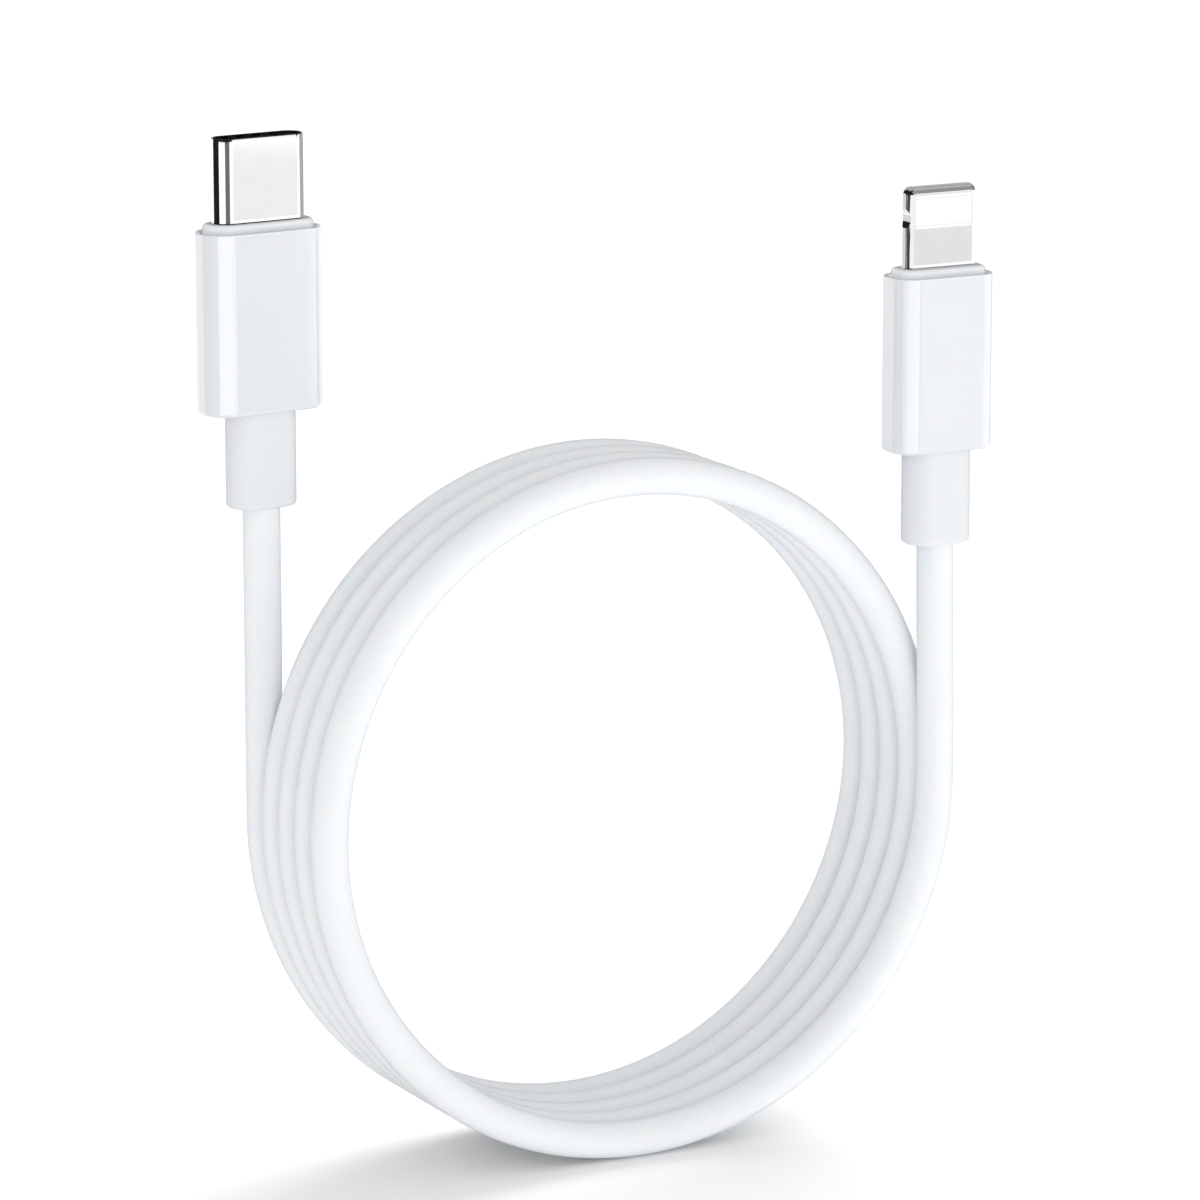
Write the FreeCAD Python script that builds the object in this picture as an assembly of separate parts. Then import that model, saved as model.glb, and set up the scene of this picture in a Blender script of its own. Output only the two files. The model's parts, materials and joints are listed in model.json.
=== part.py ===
import FreeCAD, Part
import math
import os

# Charging cable: a type-C plug and a flat eight-contact tab plug, joined by one round cord
# that is wound into a coil and stands on its edge. Millimetres, +Z up, fronts face -Y.

V = FreeCAD.Vector

# ---------------------------------------------------------------- cord and coil
CORD_D = 3.1
CORD_R = CORD_D / 2
COIL_RADIUS = 28.1        # coil axis to the centreline of the cord
STRANDS_LOW = 5           # strands side by side below the coil's middle
STRANDS_HIGH = 4          # and above it, so the coil holds 4.5 turns
TURNS = (STRANDS_LOW + STRANDS_HIGH) / 2
FOOT_DEPTH = 0.1          # how far the lowest turns are pressed flat by what they stand on
COIL_HEIGHT = COIL_RADIUS + CORD_R - FOOT_DEPTH
LEAD_Y = TURNS * CORD_D / 2             # the leads leave the first and the last strand
TAB_LEAD_INSET = 0.27     # the tab's lead stands this far inside the coil's side

# ---------------------------------------------------------------- what both plugs share
WALL = 0.45               # moulded casing
FLOOR = 0.8               # casing wall round the strain relief
CASING_DEPTH = 4.8
CASING_LOWER_EDGE = 0.35
RIM_WIDTH = 0.15          # the casing's wall at its rim
RIM_TAPER = 0.45          # height over which the wall thins out to the rim
BOSS_INSET = 0.65         # casing face to the side of the collar's boss
BOSS_EDGE = 0.4
GROOVE_DEPTH = 0.5        # between the boss and the casing's rim
SKIRT = 0.8               # part of the collar inside the casing
RELIEF_WIDTH = 5.9
RELIEF_DEPTH = 3.8
RELIEF_RADIUS = 1.7
RELIEF_LENGTH = 8.0
RELIEF_EDGE = 0.4
FLANGE_TOP = 2.0          # top of the strain relief's inner flange
CRIMP_TOP = 3.6           # top of the crimp ring and end of the cord's jacket
CRIMP_D = 3.7
CAN_BOTTOM = 4.6
CAN_SHEET = 0.12
CAN_HALF_Y = 1.5
CAN_GAP = 0.1             # top of the shield can to the piece over it
BOARD_BOTTOM = 5.8
WIRE_D = 0.6
WIRE_STEP = 0.65          # wires in the jacket, from its axis, both ways
WIRE_STRAIGHT = 0.7       # wire's straight stretch out of the jacket
WIRE_BEND_GAP = 0.3       # end of a wire's bend, below the board
WIRE_PAD_X = 1.4          # wires on the board
WIRE_TOP = 7.6
WIRE_ROOM_HALF_X = 1.8    # room for the wires in the inner mould
WIRE_ROOM_HALF_Y = 1.2
BEND_SHARE = 0.45         # share of a wire's runs that its bends may use

# ---------------------------------------------------------------- type-C plug
C_BASE = 34.3             # casing's lower end above the coil's axis
C_YAW = 5.5               # degrees that the plug sits turned on its cord
C_WIDTH = 11.0
C_RADIUS = 2.2
C_LENGTH = 14.9
C_BOSS = 0.7
C_FLANGE_WIDTH = 8.2
C_CAN_HALF_X = 4.3
C_TONGUE_WIDTH = 8.25     # the standard's outer size of the metal shell
C_TONGUE_DEPTH = 2.4
C_TONGUE_LENGTH = 6.95
C_SHEET = 0.15
C_RIM_EDGE = 0.12
C_SHELL_BOTTOM = 13.0
C_TIP = C_LENGTH + C_BOSS + C_TONGUE_LENGTH
C_CARRIER_BOTTOM = 12.7
C_CARRIER_TOP = C_TIP - 0.35
C_MOUTH_HALF_X = 3.4
C_MOUTH_HALF_Y = 0.42
C_MOUTH_BOTTOM = 15.9
C_BOARD_HALF_X = 3.8
C_BOARD_HALF_Y = 0.5
C_BOARD_TOP = 12.6
C_CONTACTS = 12
C_PITCH = 0.5
C_CONTACT_WIDTH = 0.25
C_SLOT_WIDTH = 0.34
C_SLOT_INNER = 0.4        # bottom of the slots, from the plug's middle plane
C_SLOT_TOP = 20.4
C_ROOT_Z = 15.3           # where the sprung arms meet their fixed roots
C_ROOT_GAP = 0.03
C_ARM_INNER = 0.5         # arm's faces, from the plug's middle plane
C_ARM_OUTER = 0.65
C_ARM_TIP = 0.28          # the bump that touches a socket's tongue
C_ARM_TOP = 20.2
C_BUMP = (0.25, 0.55, 0.95)             # start, end and foot of the bump, below the arm's top
C_TAIL_BOTTOM = 11.3
C_LATCH_HALF_Y = 0.15
C_LATCH_INNER = 3.42
C_LATCH_OUTER = 3.62
C_LATCH_TIP = 3.12
C_LATCH_TOP = 20.8
C_HOOK = (0.35, 0.6, 1.2)               # start, end and foot of the hook, below the latch's top
C_LATCH_ROOM_INNER = 3.3
C_LATCH_ROOM_HALF_Y = 0.36
C_LATCH_ROOM_OVER = 0.1
C_LATCH_PLATE_BOTTOM = 13.2
C_SPRING_BOTTOM = 20.7
C_SPRING_STRIP = 0.4      # height of the strip that the fingers grow from
C_SPRING_TOP = 22.05
C_SPRING_HALF_X = 2.8
C_SPRING_INNER = 0.88
C_SPRING_OUTER = 0.96
C_SPRING_TIP = 0.55
C_SPRING_BEND = 0.3       # finger's end to its bend
C_SPRING_LIP = 0.1        # how far the finger's end leans back
C_SPRING_SHEET = 0.06
C_SPRING_ROOM_SIDE = 0.2
C_SPRING_ROOM_UNDER = 0.1
C_FINGERS = 4
C_FINGER_PITCH = 1.5
C_FINGER_WIDTH = 0.8
C_CHIP_Z = 9.6
C_MARKER = (2.0, 2.0, 0.6)              # width, height and thickness
C_RESISTOR = (0.5, 1.0, 0.35)
C_RESISTOR_X = (-2.4, -1.5, 1.5, 2.4)

# ---------------------------------------------------------------- tab plug
T_BASE = 28.45            # casing's lower end above the coil's axis
T_WIDTH = 9.4
T_RADIUS = 1.8
T_LENGTH = 14.85
T_BOSS = 0.65
T_FLANGE_WIDTH = 7.4
T_CAN_HALF_X = 3.7
T_TAB_WIDTH = 6.7         # the standard's tab: 6.7 by 1.5
T_TAB_DEPTH = 1.5
T_TAB_LENGTH = 6.88
T_TIP = T_LENGTH + T_BOSS + T_TAB_LENGTH
T_TAB_CORNER = 0.7        # rounding of the tip's two corners
T_TAB_EDGE = 0.6          # rounding of the long edges
T_FRAME_BOTTOM = 12.0
T_FRAME_FLANGE_TOP = 13.4
T_FRAME_FLANGE_HALF_X = 3.5
T_HOLLOW_HALF_X = 2.7
T_HOLLOW_HALF_Y = 0.4
T_WINDOW_BOTTOM = 18.85
T_WINDOW_TOP = 21.6
T_NOTCH_Z = 19.7
T_NOTCH_R = 1.3
T_NOTCH_DEPTH = 0.27
T_CONTACTS = 8
T_PITCH = 0.68
T_CONTACT_WIDTH = 0.44
T_CONTACT_MARGIN = 0.2    # contact's ends to the window's edges
T_BOARD_HALF_X = 3.2
T_BOARD_NECK_HALF_X = 2.6
T_BOARD_HALF_Y = 0.3
T_BOARD_STEP = 11.9
T_BOARD_TOP = 21.45
T_IDENTITY_Z = 10.0
T_IDENTITY = (2.4, 2.4, 0.6)            # width, height and thickness
T_POWER_Z = 9.6
T_POWER = (1.6, 1.6, 0.5)
T_CAPACITOR = (0.5, 0.9, 0.4)
T_CAPACITOR_X = (-2.2, 2.2)
T_CAPACITOR_Z = (8.9, 10.4)


# ---------------------------------------------------------------- geometry helpers
def block(x0, x1, y0, y1, z0, z1):
    """A box between two corners, given in any order."""
    low = V(min(x0, x1), min(y0, y1), min(z0, z1))
    return Part.makeBox(abs(x1 - x0), abs(y1 - y0), abs(z1 - z0), low)


def rounded_outline(width, depth, radius, z):
    """A closed rectangle outline with round corners; a full radius makes its ends half circles."""
    half_x = width / 2
    half_y = depth / 2
    diagonal = radius * math.sqrt(0.5)
    corners = ((1, 1), (-1, 1), (-1, -1), (1, -1))
    edges = []
    ends = []
    for index, (sx, sy) in enumerate(corners):
        centre = V(sx * (half_x - radius), sy * (half_y - radius), z)
        on_side = centre + V(sx * radius, 0, 0)
        on_face = centre + V(0, sy * radius, 0)
        middle = centre + V(sx * diagonal, sy * diagonal, 0)
        start, end = (on_side, on_face) if index % 2 == 0 else (on_face, on_side)
        edges.append(Part.Arc(start, middle, end).toShape())
        ends.append((start, end))
    for index in range(4):
        start = ends[index][1]
        end = ends[(index + 1) % 4][0]
        if start.distanceToPoint(end) > 1e-6:
            edges.append(Part.LineSegment(start, end).toShape())
    return Part.Wire(Part.__sortEdges__(edges))


def rounded_block(width, depth, radius, z0, z1):
    """A prism of the rounded outline, centred on Z."""
    face = Part.Face(rounded_outline(width, depth, radius, z0))
    return face.extrude(V(0, 0, z1 - z0))


def round_end(shape, z, radius):
    """Rounds the outer edges of the flat end at height z."""
    widest = max(shape.Faces, key=lambda face: face.Area if flat_at(face, z) else 0)
    return shape.makeFillet(radius, widest.OuterWire.Edges)


def flat_at(face, z):
    box = face.BoundBox
    return abs(box.ZMin - z) < 1e-5 and abs(box.ZMax - z) < 1e-5


def prism(points, direction):
    """A closed polygon of points, extruded along a vector."""
    outline = Part.makePolygon([V(*point) for point in points + points[:1]])
    return Part.Face(outline).extrude(direction)


def both_ways(count, pitch):
    """Positions of a centred row."""
    return [(index - (count - 1) / 2) * pitch for index in range(count)]


def group(shapes):
    return Part.makeCompound(shapes)


def smooth_path(points):
    """Straight runs joined by tangent arcs, each as large as its two runs allow."""
    points = [V(*point) for point in points]
    edges = []
    start = points[0]
    for before, corner, after in zip(points, points[1:], points[2:]):
        back = (before - corner).normalize()
        ahead = (after - corner).normalize()
        half_turn = (math.pi - back.getAngle(ahead)) / 2
        reach = BEND_SHARE * min(before.distanceToPoint(corner), after.distanceToPoint(corner))
        radius = reach / math.tan(half_turn)
        bisector = (back + ahead).normalize()
        middle = corner + bisector * (radius / math.cos(half_turn) - radius)
        arc_start = corner + back * reach
        arc_end = corner + ahead * reach
        edges.append(Part.LineSegment(start, arc_start).toShape())
        edges.append(Part.Arc(arc_start, middle, arc_end).toShape())
        start = arc_end
    edges.append(Part.LineSegment(start, points[-1]).toShape())
    return Part.Wire(edges)


def tube(points, diameter):
    """A round solid along a smooth path, checked against its section times its length."""
    path = smooth_path(points)
    start = V(*points[0])
    ring = Part.Wire(Part.makeCircle(diameter / 2, start, V(*points[1]) - start))
    solid = path.makePipeShell([ring], True, True)
    expected = math.pi * diameter ** 2 / 4 * path.Length
    if abs(solid.Volume / expected - 1) > 0.01:
        raise ValueError("a tube's volume is not its section times its length")
    return solid


# ---------------------------------------------------------------- pieces both plugs have
def casing(width, radius, length):
    """Moulded sleeve with a thin rim, and the strain relief's opening in its floor."""
    outer = rounded_block(width, CASING_DEPTH, radius, 0, length)
    outer = round_end(outer, 0, CASING_LOWER_EDGE)
    inner = rounded_block(width - 2 * WALL, CASING_DEPTH - 2 * WALL, radius - WALL, FLOOR, length)
    taper = Part.makeLoft([rounded_outline(width - 2 * wall, CASING_DEPTH - 2 * wall,
                                           radius - wall, z)
                           for wall, z in ((WALL, length - RIM_TAPER), (RIM_WIDTH, length))],
                          True, True)
    opening = rounded_block(RELIEF_WIDTH, RELIEF_DEPTH, RELIEF_RADIUS, 0, FLOOR)
    return outer.cut(inner).cut(taper).cut(opening)


def collar(width, radius, length, boss_height, tongue):
    """White end piece: a skirt inside the casing and a rounded boss round the metal."""
    skirt_top = length - GROOVE_DEPTH
    skirt = rounded_block(width - 2 * WALL, CASING_DEPTH - 2 * WALL, radius - WALL,
                          length - SKIRT, skirt_top)
    boss = rounded_block(width - 2 * BOSS_INSET, CASING_DEPTH - 2 * BOSS_INSET,
                         radius - BOSS_INSET, skirt_top, length + boss_height)
    boss = round_end(boss, length + boss_height, BOSS_EDGE)
    return skirt.fuse(boss).cut(tongue)


def strain_relief(flange_width):
    """Soft sleeve on the cord, held in the casing's floor by its flange."""
    sleeve = rounded_block(RELIEF_WIDTH, RELIEF_DEPTH, RELIEF_RADIUS, -RELIEF_LENGTH, FLOOR)
    sleeve = round_end(sleeve, -RELIEF_LENGTH, RELIEF_EDGE)
    flange = rounded_block(flange_width, RELIEF_DEPTH, RELIEF_RADIUS, FLOOR, FLANGE_TOP)
    bore = Part.makeCylinder(CORD_R, RELIEF_LENGTH + FLANGE_TOP, V(0, 0, -RELIEF_LENGTH))
    return sleeve.fuse(flange).cut(bore)


def crimp():
    """Metal ring pressed round the end of the jacket and the folded screen."""
    ring = Part.makeCylinder(CRIMP_D / 2, CRIMP_TOP - FLANGE_TOP, V(0, 0, FLANGE_TOP))
    return ring.cut(Part.makeCylinder(CORD_R, CRIMP_TOP - FLANGE_TOP, V(0, 0, FLANGE_TOP)))


def shield_half(half_x, top, side):
    """One folded sheet half of the shield can; side is -1 for the front, +1 for the back."""
    outer = block(-half_x, half_x, 0, side * CAN_HALF_Y, CAN_BOTTOM, top)
    inside = half_x - CAN_SHEET
    hollow = block(-inside, inside, 0, side * (CAN_HALF_Y - CAN_SHEET), CAN_BOTTOM, top)
    return outer.cut(hollow)


def inner_mould(width, radius, length, can_half_x):
    """Soft filling between the shield can and the casing, and round the crimp."""
    top = length - SKIRT
    body = rounded_block(width - 2 * WALL, CASING_DEPTH - 2 * WALL, radius - WALL,
                         FLANGE_TOP, top)
    can_room = block(-can_half_x, can_half_x, -CAN_HALF_Y, CAN_HALF_Y, CAN_BOTTOM, top)
    crimp_room = Part.makeCylinder(CRIMP_D / 2, CRIMP_TOP - FLANGE_TOP, V(0, 0, FLANGE_TOP))
    wire_room = block(-WIRE_ROOM_HALF_X, WIRE_ROOM_HALF_X, -WIRE_ROOM_HALF_Y, WIRE_ROOM_HALF_Y,
                      CRIMP_TOP, CAN_BOTTOM)
    return body.cut(group([can_room, crimp_room, wire_room]))


def wire(side_x, side_y, board_half_y):
    """One insulated core, from the jacket's end to its pad on the board."""
    pad_y = board_half_y + WIRE_D / 2
    start = (side_x * WIRE_STEP, side_y * WIRE_STEP)
    end = (side_x * WIRE_PAD_X, side_y * pad_y)
    return tube([(start[0], start[1], CRIMP_TOP),
                 (start[0], start[1], CRIMP_TOP + WIRE_STRAIGHT),
                 (end[0], end[1], BOARD_BOTTOM - WIRE_BEND_GAP),
                 (end[0], end[1], WIRE_TOP)], WIRE_D)


def wires(prefix, board_half_y):
    """Power and ground on the front of the board, the two data cores on its back."""
    places = {"red": (-1, -1), "black": (1, -1), "white": (-1, 1), "green": (1, 1)}
    return {prefix + "_wire_" + colour: wire(side_x, side_y, board_half_y)
            for colour, (side_x, side_y) in places.items()}


def chip(x, z, size, board_half_y, side):
    """A component that lies on the front (-1) or the back (+1) of the board."""
    width, height, thickness = size
    face = side * board_half_y
    return block(x - width / 2, x + width / 2, face, face + side * thickness,
                 z - height / 2, z + height / 2)


# ---------------------------------------------------------------- type-C plug
def type_c_shell():
    """Deep-drawn steel sleeve, the metal tongue that goes into a socket."""
    outer = rounded_block(C_TONGUE_WIDTH, C_TONGUE_DEPTH, C_TONGUE_DEPTH / 2,
                          C_SHELL_BOTTOM, C_TIP)
    outer = round_end(outer, C_TIP, C_RIM_EDGE)
    width = C_TONGUE_WIDTH - 2 * C_SHEET
    depth = C_TONGUE_DEPTH - 2 * C_SHEET
    return outer.cut(rounded_block(width, depth, depth / 2, C_SHELL_BOTTOM, C_TIP))


def type_c_carrier():
    """Black insulator in the shell, with the mouth, the contact slots and the latch slots."""
    width = C_TONGUE_WIDTH - 2 * C_SHEET
    depth = C_TONGUE_DEPTH - 2 * C_SHEET
    wall = depth / 2
    body = rounded_block(width, depth, wall, C_CARRIER_BOTTOM, C_CARRIER_TOP)
    rooms = [block(-C_MOUTH_HALF_X, C_MOUTH_HALF_X, -C_MOUTH_HALF_Y, C_MOUTH_HALF_Y,
                   C_MOUTH_BOTTOM, C_CARRIER_TOP)]
    for side in (-1, 1):
        for x in both_ways(C_CONTACTS, C_PITCH):
            half = C_SLOT_WIDTH / 2
            rooms.append(block(x - half, x + half, C_SLOT_INNER * side, wall * side,
                               C_ROOT_Z, C_SLOT_TOP))
            half = C_CONTACT_WIDTH / 2
            rooms.append(block(x - half, x + half, C_ARM_INNER * side, C_ARM_OUTER * side,
                               C_CARRIER_BOTTOM, C_ROOT_Z))
        rooms.append(block(C_LATCH_ROOM_INNER * side, width / 2 * side,
                           -C_LATCH_ROOM_HALF_Y, C_LATCH_ROOM_HALF_Y,
                           C_ROOT_Z, C_LATCH_TOP + C_LATCH_ROOM_OVER))
        half = C_SPRING_HALF_X + C_SPRING_ROOM_SIDE
        rooms.append(block(-half, half, C_SLOT_INNER * side, wall * side,
                           C_SPRING_BOTTOM - C_SPRING_ROOM_UNDER, C_CARRIER_TOP))
    rooms.append(block(-C_LATCH_OUTER, C_LATCH_OUTER, -C_LATCH_HALF_Y, C_LATCH_HALF_Y,
                       C_LATCH_PLATE_BOTTOM, C_MOUTH_BOTTOM))
    return body.cut(group(rooms))


def type_c_contact_arms(side):
    """The free, sprung arms of one row of contacts; side is -1 for the front row."""
    start, end, foot = C_BUMP
    profile = [(C_ARM_INNER, C_ROOT_Z + C_ROOT_GAP), (C_ARM_OUTER, C_ROOT_Z + C_ROOT_GAP),
               (C_ARM_OUTER, C_ARM_TOP), (C_ARM_INNER, C_ARM_TOP),
               (C_ARM_TIP, C_ARM_TOP - start), (C_ARM_TIP, C_ARM_TOP - end),
               (C_ARM_INNER, C_ARM_TOP - foot)]
    half = C_CONTACT_WIDTH / 2
    return group([prism([(x - half, side * y, z) for y, z in profile],
                        V(C_CONTACT_WIDTH, 0, 0)) for x in both_ways(C_CONTACTS, C_PITCH)])


def type_c_contact_tails(side):
    """The fixed roots and solder tails of one row of contacts."""
    half = C_CONTACT_WIDTH / 2
    return group([block(x - half, x + half, side * C_ARM_INNER, side * C_ARM_OUTER,
                        C_TAIL_BOTTOM, C_ROOT_Z) for x in both_ways(C_CONTACTS, C_PITCH)])


def type_c_latch(side):
    """Sprung hook beside the mouth that holds the plug in a socket; side is -1 for the left."""
    start, end, foot = C_HOOK
    profile = [(C_LATCH_INNER, C_MOUTH_BOTTOM + C_ROOT_GAP),
               (C_LATCH_OUTER, C_MOUTH_BOTTOM + C_ROOT_GAP),
               (C_LATCH_OUTER, C_LATCH_TOP), (C_LATCH_INNER, C_LATCH_TOP),
               (C_LATCH_TIP, C_LATCH_TOP - start), (C_LATCH_TIP, C_LATCH_TOP - end),
               (C_LATCH_INNER, C_LATCH_TOP - foot)]
    return prism([(side * x, -C_LATCH_HALF_Y, z) for x, z in profile],
                 V(0, 2 * C_LATCH_HALF_Y, 0))


def type_c_latch_plate():
    """Fixed middle plate that the two latches grow from."""
    return block(-C_LATCH_OUTER, C_LATCH_OUTER, -C_LATCH_HALF_Y, C_LATCH_HALF_Y,
                 C_LATCH_PLATE_BOTTOM, C_MOUTH_BOTTOM)


def type_c_ground_spring(side):
    """Sheet with four fingers behind the shell's rim that touch a socket's own shield."""
    strip_top = C_SPRING_BOTTOM + C_SPRING_STRIP
    spring = block(-C_SPRING_HALF_X, C_SPRING_HALF_X, side * C_SPRING_INNER,
                   side * C_SPRING_OUTER, C_SPRING_BOTTOM, strip_top)
    bend = C_SPRING_TOP - C_SPRING_BEND
    lip = C_SPRING_TIP + C_SPRING_LIP
    profile = [(C_SPRING_OUTER, strip_top), (C_SPRING_INNER, strip_top), (C_SPRING_TIP, bend),
               (lip, C_SPRING_TOP), (lip + C_SPRING_SHEET, C_SPRING_TOP - C_SPRING_LIP),
               (lip, bend)]
    for x in both_ways(C_FINGERS, C_FINGER_PITCH):
        outline = [(x - C_FINGER_WIDTH / 2, side * y, z) for y, z in profile]
        spring = spring.fuse(prism(outline, V(C_FINGER_WIDTH, 0, 0)))
    return spring.removeSplitter()


def type_c_plug():
    """All pieces of the plug, with the casing's lower end at Z 0."""
    tongue = rounded_block(C_TONGUE_WIDTH, C_TONGUE_DEPTH, C_TONGUE_DEPTH / 2, 0, C_TIP)
    can_top = C_LENGTH - SKIRT - CAN_GAP
    resistors = [chip(x, C_CHIP_Z, C_RESISTOR, C_BOARD_HALF_Y, 1) for x in C_RESISTOR_X]
    parts = {
        "type_c_casing": casing(C_WIDTH, C_RADIUS, C_LENGTH),
        "type_c_collar": collar(C_WIDTH, C_RADIUS, C_LENGTH, C_BOSS, tongue),
        "type_c_strain_relief": strain_relief(C_FLANGE_WIDTH),
        "type_c_crimp": crimp(),
        "type_c_inner_mould": inner_mould(C_WIDTH, C_RADIUS, C_LENGTH, C_CAN_HALF_X),
        "type_c_front_shield": shield_half(C_CAN_HALF_X, can_top, -1),
        "type_c_back_shield": shield_half(C_CAN_HALF_X, can_top, 1),
        "type_c_circuit_board": block(-C_BOARD_HALF_X, C_BOARD_HALF_X, -C_BOARD_HALF_Y,
                                      C_BOARD_HALF_Y, BOARD_BOTTOM, C_BOARD_TOP),
        "type_c_marker_chip": chip(0, C_CHIP_Z, C_MARKER, C_BOARD_HALF_Y, -1),
        "type_c_resistors": group(resistors),
        "type_c_shell": type_c_shell(),
        "type_c_contact_carrier": type_c_carrier(),
        "type_c_front_contacts": type_c_contact_arms(-1),
        "type_c_back_contacts": type_c_contact_arms(1),
        "type_c_front_contact_tails": type_c_contact_tails(-1),
        "type_c_back_contact_tails": type_c_contact_tails(1),
        "type_c_left_latch": type_c_latch(-1),
        "type_c_right_latch": type_c_latch(1),
        "type_c_latch_plate": type_c_latch_plate(),
        "type_c_front_ground_spring": type_c_ground_spring(-1),
        "type_c_back_ground_spring": type_c_ground_spring(1),
    }
    parts.update(wires("type_c", C_BOARD_HALF_Y))
    return parts


# ---------------------------------------------------------------- tab plug
def tab_plate():
    """The metal tab's outer shape: a flat plate with a round tip and round long edges."""
    half_x = T_TAB_WIDTH / 2
    half_y = T_TAB_DEPTH / 2
    plate = block(-half_x, half_x, -half_y, half_y, T_FRAME_FLANGE_TOP, T_TIP)
    tip_corners = [edge for edge in plate.Edges
                   if edge.BoundBox.ZMin > T_TIP - 0.01 and edge.BoundBox.YLength > 1]
    plate = plate.makeFillet(T_TAB_CORNER, tip_corners)
    rims = [edge for edge in plate.Edges
            if edge.BoundBox.YLength < 0.01 and edge.BoundBox.ZMax > T_FRAME_FLANGE_TOP + 0.1]
    return plate.makeFillet(T_TAB_EDGE, rims)


def tab_frame():
    """Steel frame: the tab, its flange, the notches for a socket's catch, and its hollow."""
    half_y = T_TAB_DEPTH / 2
    flange = block(-T_FRAME_FLANGE_HALF_X, T_FRAME_FLANGE_HALF_X, -half_y, half_y,
                   T_FRAME_BOTTOM, T_FRAME_FLANGE_TOP)
    rooms = [block(-T_HOLLOW_HALF_X, T_HOLLOW_HALF_X, -T_HOLLOW_HALF_Y, T_HOLLOW_HALF_Y,
                   T_FRAME_BOTTOM, T_WINDOW_TOP),
             block(-T_HOLLOW_HALF_X, T_HOLLOW_HALF_X, -half_y, half_y,
                   T_WINDOW_BOTTOM, T_WINDOW_TOP)]
    for side in (-1, 1):
        notch_x = side * (T_TAB_WIDTH / 2 - T_NOTCH_DEPTH + T_NOTCH_R)
        rooms.append(Part.makeCylinder(T_NOTCH_R, T_TAB_DEPTH, V(notch_x, -half_y, T_NOTCH_Z),
                                       V(0, 1, 0)))
    shape = tab_plate().fuse(flange)
    for room in rooms:
        shape = shape.cut(room)
    return shape.removeSplitter()


def tab_contact_blocks(side):
    """One face's flat contacts, level with the tab's face and soldered to the board."""
    half = T_CONTACT_WIDTH / 2
    return [block(x - half, x + half, side * T_BOARD_HALF_Y, side * T_TAB_DEPTH / 2,
                  T_WINDOW_BOTTOM + T_CONTACT_MARGIN, T_WINDOW_TOP - T_CONTACT_MARGIN)
            for x in both_ways(T_CONTACTS, T_PITCH)]


def tab_board():
    """Board that runs from the wires up inside the tab to the contacts."""
    wide = block(-T_BOARD_HALF_X, T_BOARD_HALF_X, -T_BOARD_HALF_Y, T_BOARD_HALF_Y,
                 BOARD_BOTTOM, T_BOARD_STEP)
    neck = block(-T_BOARD_NECK_HALF_X, T_BOARD_NECK_HALF_X, -T_BOARD_HALF_Y, T_BOARD_HALF_Y,
                 T_BOARD_STEP, T_BOARD_TOP)
    return wide.fuse(neck).removeSplitter()


def tab_insulator(board):
    """Moulded filling of the tab's window, level with its faces, round every contact."""
    half_y = T_TAB_DEPTH / 2
    body = block(-T_HOLLOW_HALF_X, T_HOLLOW_HALF_X, -half_y, half_y,
                 T_WINDOW_BOTTOM, T_WINDOW_TOP)
    return body.cut(group([board] + tab_contact_blocks(-1) + tab_contact_blocks(1)))


def tab_plug():
    """All pieces of the plug, with the casing's lower end at Z 0."""
    opening = block(-T_TAB_WIDTH / 2, T_TAB_WIDTH / 2, -T_TAB_DEPTH / 2, T_TAB_DEPTH / 2,
                    0, T_TIP)
    rims = [edge for edge in opening.Edges if edge.BoundBox.ZLength > 1]
    opening = opening.makeFillet(T_TAB_EDGE, rims)
    can_top = T_FRAME_BOTTOM - CAN_GAP
    board = tab_board()
    capacitors = [chip(x, z, T_CAPACITOR, T_BOARD_HALF_Y, 1)
                  for x in T_CAPACITOR_X for z in T_CAPACITOR_Z]
    parts = {
        "tab_casing": casing(T_WIDTH, T_RADIUS, T_LENGTH),
        "tab_collar": collar(T_WIDTH, T_RADIUS, T_LENGTH, T_BOSS, opening),
        "tab_strain_relief": strain_relief(T_FLANGE_WIDTH),
        "tab_crimp": crimp(),
        "tab_inner_mould": inner_mould(T_WIDTH, T_RADIUS, T_LENGTH, T_CAN_HALF_X),
        "tab_front_shield": shield_half(T_CAN_HALF_X, can_top, -1),
        "tab_back_shield": shield_half(T_CAN_HALF_X, can_top, 1),
        "tab_circuit_board": board,
        "tab_identity_chip": chip(0, T_IDENTITY_Z, T_IDENTITY, T_BOARD_HALF_Y, -1),
        "tab_power_chip": chip(0, T_POWER_Z, T_POWER, T_BOARD_HALF_Y, 1),
        "tab_capacitors": group(capacitors),
        "tab_frame": tab_frame(),
        "tab_contact_insulator": tab_insulator(board),
        "tab_front_contacts": group(tab_contact_blocks(-1)),
        "tab_back_contacts": group(tab_contact_blocks(1)),
    }
    parts.update(wires("tab", T_BOARD_HALF_Y))
    return parts


# ---------------------------------------------------------------- cord
def half_coil(strands, side):
    """Half a ring of strands side by side, slightly turned so that it climbs half a strand.

    side is -1 for the lower half and +1 for the upper one.
    """
    width = strands * CORD_D
    section = Part.Face(rounded_outline(width, CORD_D, CORD_R, 0))
    section.rotate(V(0, 0, 0), V(0, 0, 1), 90)
    section.translate(V(COIL_RADIUS, 0, 0))
    ring = section.revolve(V(0, 0, 0), V(0, 1, 0), -180 * side)
    climb = math.degrees(math.atan(CORD_D / 4 / COIL_RADIUS))
    ring.rotate(V(0, 0, 0), V(0, 0, 1), climb * side)
    return ring


def coiled_cord():
    """Outer shape of the whole coil: five strands deep below its axis and four above."""
    coil = half_coil(STRANDS_LOW, -1).fuse(half_coil(STRANDS_HIGH, 1))
    reach = 2 * COIL_RADIUS
    ground = block(-reach, reach, -reach, reach, -reach, -COIL_HEIGHT)
    return coil.cut(ground)


def lead(base):
    """Straight stretch of cord from the coil's middle height to the crimp in a plug."""
    return Part.makeCylinder(CORD_R, base + CRIMP_TOP)


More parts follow.
